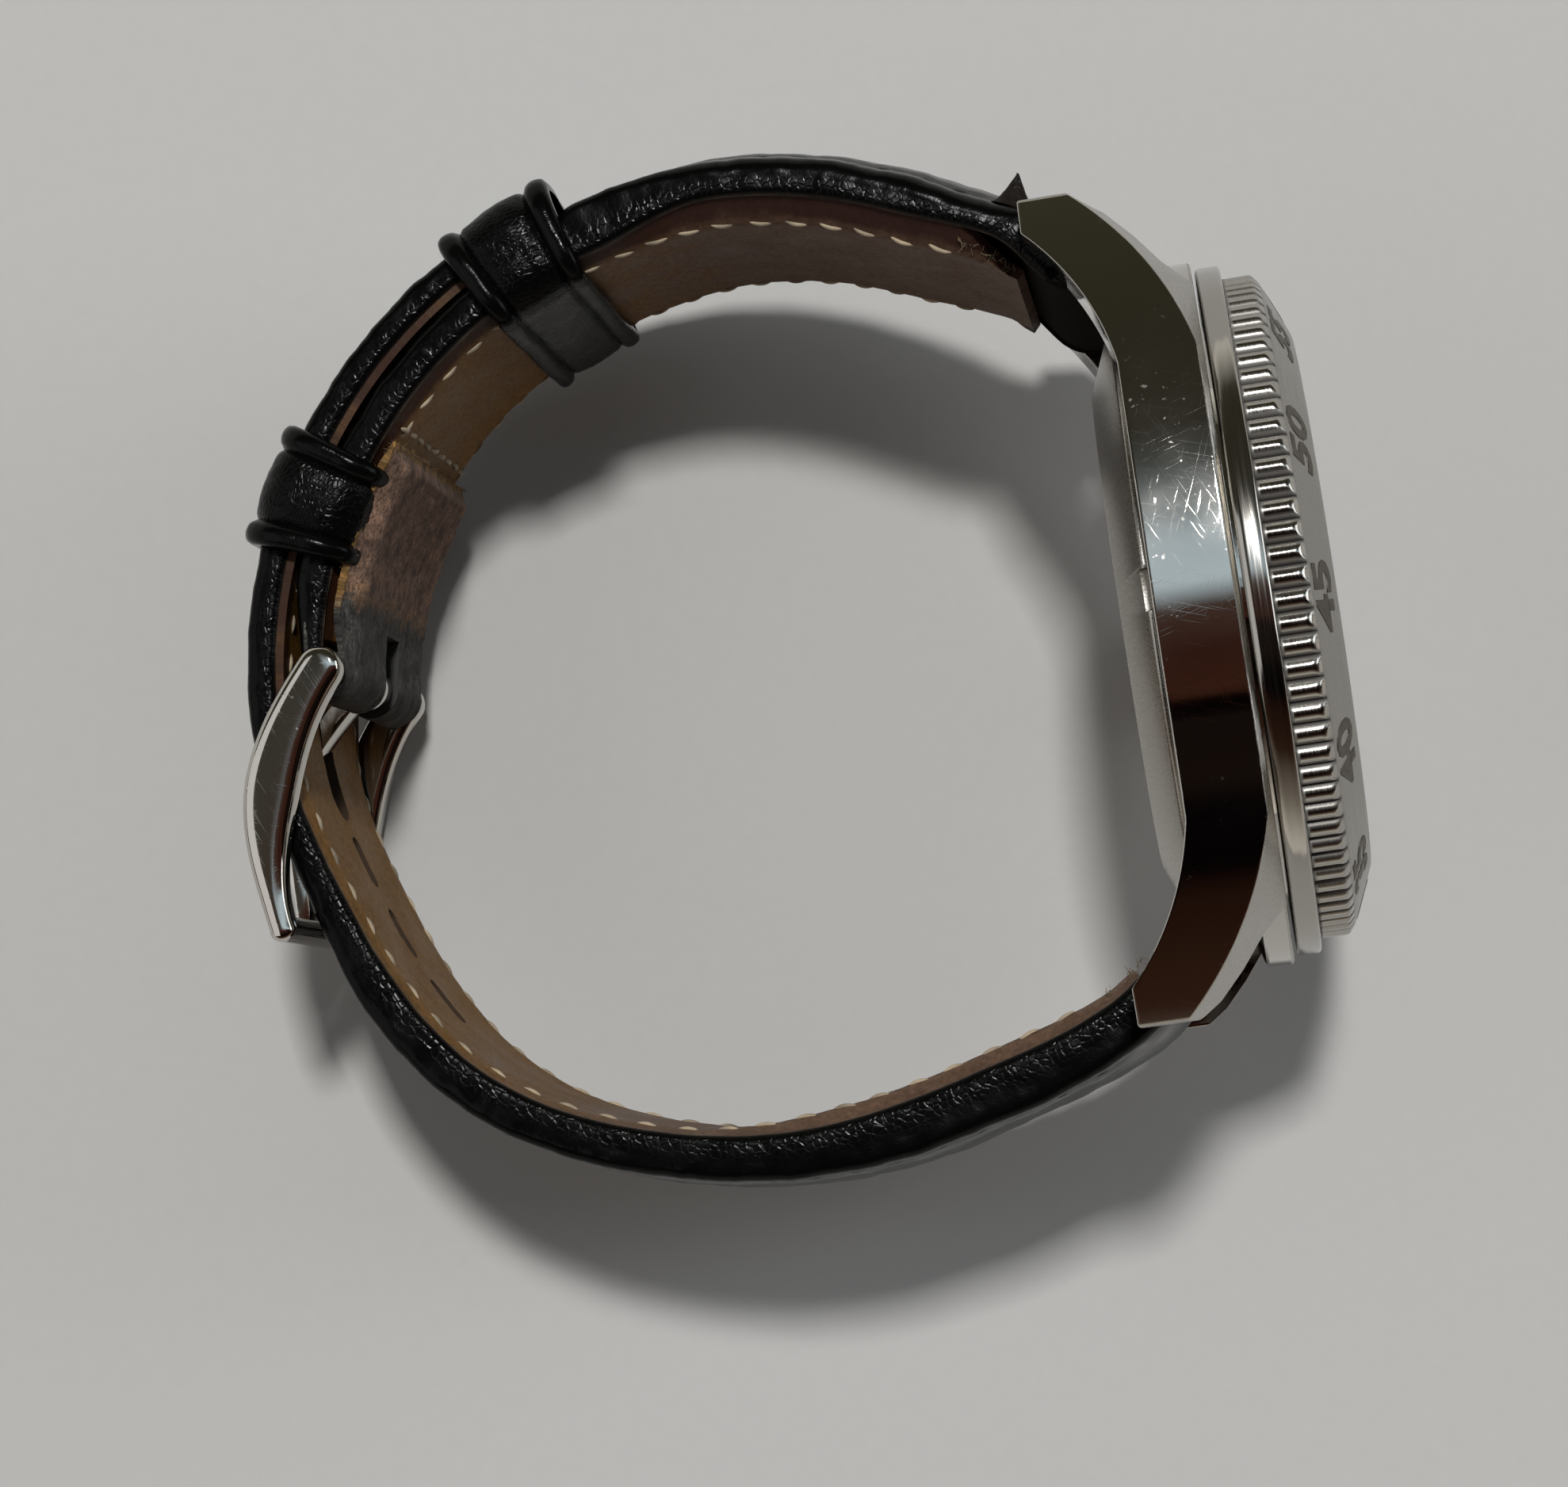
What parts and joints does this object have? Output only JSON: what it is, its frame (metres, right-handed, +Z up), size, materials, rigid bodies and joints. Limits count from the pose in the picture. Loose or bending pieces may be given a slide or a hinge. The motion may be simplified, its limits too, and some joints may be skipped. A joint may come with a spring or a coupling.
{
  "type": "wristwatch",
  "caption": "Analogue wristwatch with a polished steel case, coin-edge turning bezel and a buckled padded leather strap, lying on its crown.",
  "frame": {"origin": "centre of the bounding box at its bottom, on the surface the watch lies on", "axes": "+X towards the dial side, +Y towards 12 o'clock, +Z up, roughly towards 9 o'clock; the dial is tipped up by the rest tilt"},
  "size_m": [0.0702, 0.0627, 0.0464],
  "materials": {
    "polished_steel": "polished, with fine scratches",
    "brushed_steel": "fine brushed",
    "plated_metal": "bright plated",
    "brass": "satin",
    "black_leather": "pebbled, semi-gloss",
    "lining_leather": "smooth, worn",
    "suede": "napped and worn",
    "glass": "clear",
    "rubber": "matt",
    "pale_plastic": "moulded",
    "green_board": "resist coated",
    "copper_wire": "enamelled winding",
    "black_enamel": "satin",
    "red_lacquer": "gloss"
  },
  "bodies": {
    "root": {"case_middle": "polished_steel", "caseback": "brushed_steel", "caseback_gasket": "rubber", "bezel_snap_ring": "brushed_steel", "bezel_click_spring": "brushed_steel", "crystal": "glass", "crystal_gasket": "pale_plastic", "chapter_ring": "black_enamel", "dial": "black_enamel", "hour_markers": "plated_metal", "crown_tube": "brushed_steel", "movement_holder": "pale_plastic", "main_plate": "brass", "train_bridge": "brushed_steel", "bridge_screws": "plated_metal", "stator": "brushed_steel", "coil": "copper_wire", "circuit_board": "green_board", "quartz_can": "plated_metal", "cell": "plated_metal", "cell_clamp": "brushed_steel", "clamp_screw": "plated_metal", "spring_bar_12": "brushed_steel", "spring_bar_6": "brushed_steel", "strap_12_upper": "black_leather", "strap_12_lining": "lining_leather", "turn_back_flap": "suede", "strap_6_upper": "black_leather", "strap_6_lining": "lining_leather", "fixed_keeper": "black_leather", "heel_bar": "brushed_steel"},
    "bezel": {"bezel_ring": "brushed_steel"},
    "clutch": {"clutch_wheel": "brushed_steel"},
    "crown": {"crown": "polished_steel", "crown_gasket": "rubber", "stem": "brushed_steel"},
    "seconds": {"seconds_wheel": "brass", "seconds_hand": "red_lacquer"},
    "fifth": {"fifth_wheel": "brass"},
    "rotor": {"rotor": "brushed_steel"},
    "third": {"third_wheel": "brass"},
    "minutes": {"centre_wheel": "brass", "minute_hand": "plated_metal"},
    "motion_work": {"minute_wheel": "brass"},
    "hours": {"hour_wheel": "brass", "hour_hand": "plated_metal"},
    "buckle": {"buckle_frame": "polished_steel"},
    "tongue": {"buckle_tongue": "polished_steel"},
    "loose_keeper": {"free_keeper": "black_leather"}
  },
  "joints": [
    {"name": "bezel_turn", "type": "hinge", "parent": "root", "child": "bezel", "pos_m": [0.02638, -0.0008, 0.02561], "axis": [0.9734, 0, 0.2293], "continuous": true},
    {"name": "crown_turn", "type": "hinge", "parent": "root", "child": "clutch", "pos_m": [0.02538, -0.0008, 0.01798], "axis": [0.2293, 0, -0.9734], "continuous": true},
    {"name": "crown_pull", "type": "slide", "parent": "clutch", "child": "crown", "axis": [0.2293, 0, -0.9734], "range_m": [0, 0.0015]},
    {"name": "seconds_turn", "type": "hinge", "parent": "root", "child": "seconds", "pos_m": [0.02399, -0.0008, 0.02505], "axis": [-0.9734, 0, -0.2293], "continuous": true},
    {"name": "fifth_turn", "type": "hinge", "parent": "root", "child": "fifth", "pos_m": [0.02454, 0.00205, 0.02272], "axis": [-0.9734, 0, -0.2293], "continuous": true},
    {"name": "rotor_turn", "type": "hinge", "parent": "root", "child": "rotor", "pos_m": [0.02442, 0.00508, 0.02324], "axis": [-0.9734, 0, -0.2293], "continuous": true},
    {"name": "third_turn", "type": "hinge", "parent": "root", "child": "third", "pos_m": [0.02315, -0.00213, 0.02862], "axis": [-0.9734, 0, -0.2293], "continuous": true},
    {"name": "minute_turn", "type": "hinge", "parent": "root", "child": "minutes", "pos_m": [0.02399, -0.0008, 0.02505], "axis": [-0.9734, 0, -0.2293], "continuous": true},
    {"name": "motion_work_turn", "type": "hinge", "parent": "root", "child": "motion_work", "pos_m": [0.02429, -0.00305, 0.02379], "axis": [-0.9734, 0, -0.2293], "continuous": true},
    {"name": "hour_turn", "type": "hinge", "parent": "root", "child": "hours", "pos_m": [0.02399, -0.0008, 0.02505], "axis": [-0.9734, 0, -0.2293], "continuous": true},
    {"name": "buckle_lift", "type": "hinge", "parent": "root", "child": "buckle", "pos_m": [-0.0268, 0.00294, 0.01309], "axis": [0.2293, 0, -0.9734], "range_deg": [0, 6]},
    {"name": "tongue_lift", "type": "hinge", "parent": "buckle", "child": "tongue", "pos_m": [-0.0268, 0.00294, 0.01309], "axis": [0.2293, 0, -0.9734], "range_deg": [0, 5]},
    {"name": "keeper_slide", "type": "hinge", "parent": "root", "child": "loose_keeper", "pos_m": [-0.0017, 0, 0.019], "axis": [-0.2293, 0, 0.9734], "range_deg": [-6, 19]}
  ],
  "couplings": [
    {"joint": "fifth_turn", "follows": "seconds_turn", "ratio": -5},
    {"joint": "rotor_turn", "follows": "seconds_turn", "ratio": 30},
    {"joint": "third_turn", "follows": "seconds_turn", "ratio": -0.13333},
    {"joint": "minute_turn", "follows": "seconds_turn", "ratio": 0.016667},
    {"joint": "motion_work_turn", "follows": "seconds_turn", "ratio": -0.0055556},
    {"joint": "hour_turn", "follows": "seconds_turn", "ratio": 0.0013889}
  ]
}
